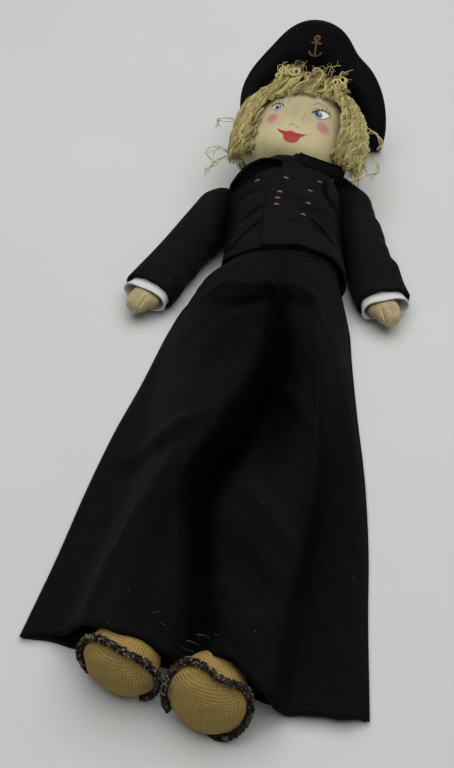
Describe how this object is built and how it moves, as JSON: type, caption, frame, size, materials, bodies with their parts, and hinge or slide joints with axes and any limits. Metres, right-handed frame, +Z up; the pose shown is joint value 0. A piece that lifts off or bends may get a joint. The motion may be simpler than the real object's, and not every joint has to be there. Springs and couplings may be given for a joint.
{
  "type": "cloth doll",
  "caption": "Long-limbed stuffed cloth doll in a dark wool sailor suit, with wide trousers, burlap feet, a soft cap, a turning head and limbs that fold.",
  "frame": {"origin": "middle of the flat of the jacket's back, where the doll lies on the table", "axes": "+Z up from the table out of the doll's front, +Y from its soles to its cap, +X to its left"},
  "size_m": [0.2085, 0.4916, 0.0974],
  "materials": {
    "wool": "napped near-black navy wool",
    "skin_cloth": "painted cream cotton",
    "canvas": "unbleached plain weave",
    "hair": "curly blond mohair",
    "burlap": "coarse tan burlap",
    "chenille": "dark looped chenille",
    "cotton": "white cotton lining",
    "thread": "bronze embroidery thread"
  },
  "bodies": {
    "trunk": {"torso": "skin_cloth", "trousers_hip": "wool", "waistband": "wool", "jacket_back": "wool", "jacket_right_front": "wool", "jacket_left_front": "wool", "collar": "wool", "pocket_flap_right": "wool", "pocket_flap_left": "wool", "breast_pocket_welt": "wool", "button_outer_1": "thread", "button_outer_2": "thread", "button_outer_3": "thread", "button_outer_4": "thread", "button_inner_1": "thread", "button_inner_2": "thread", "button_inner_3": "thread", "button_inner_4": "thread", "button_lapel": "thread"},
    "head": {"head": "skin_cloth", "hair_right": "hair", "hair_left": "hair", "hair_back": "hair", "hair_fringe": "hair", "cap_band": "wool", "cap_underside": "wool", "cap_top": "wool", "cap_anchor": "thread"},
    "arm_left": {"sleeve_left": "wool", "cuff_left": "cotton", "arm_left": "skin_cloth", "hand_left": "canvas"},
    "arm_right": {"sleeve_right": "wool", "cuff_right": "cotton", "arm_right": "skin_cloth", "hand_right": "canvas"},
    "leg_left": {"leg_left": "skin_cloth", "trouser_leg_left": "wool", "foot_sole_left": "burlap", "foot_upper_left": "burlap", "sole_trim_left": "chenille"},
    "leg_right": {"leg_right": "skin_cloth", "trouser_leg_right": "wool", "foot_sole_right": "burlap", "foot_upper_right": "burlap", "sole_trim_right": "chenille"}
  },
  "joints": [
    {"name": "head_turn", "type": "hinge", "parent": "trunk", "child": "head", "pos_m": [0, 0.052, 0.034], "axis": [0.225, 0.9744, 0], "range_deg": [-35, 35]},
    {"name": "shoulder_left", "type": "hinge", "parent": "trunk", "child": "arm_left", "pos_m": [0.0453, 0.025, 0.02], "axis": [-1, 0, 0], "range_deg": [-30, 100]},
    {"name": "shoulder_right", "type": "hinge", "parent": "trunk", "child": "arm_right", "pos_m": [-0.0453, 0.019, 0.02], "axis": [-1, 0, 0], "range_deg": [-30, 100]},
    {"name": "hip_left", "type": "hinge", "parent": "trunk", "child": "leg_left", "pos_m": [0, -0.051, 0.042], "axis": [-0.9848, 0.1736, 0], "range_deg": [0, 90]},
    {"name": "hip_right", "type": "hinge", "parent": "trunk", "child": "leg_right", "pos_m": [0, -0.051, 0.042], "axis": [-0.9848, 0.1736, 0], "range_deg": [0, 90]}
  ]
}
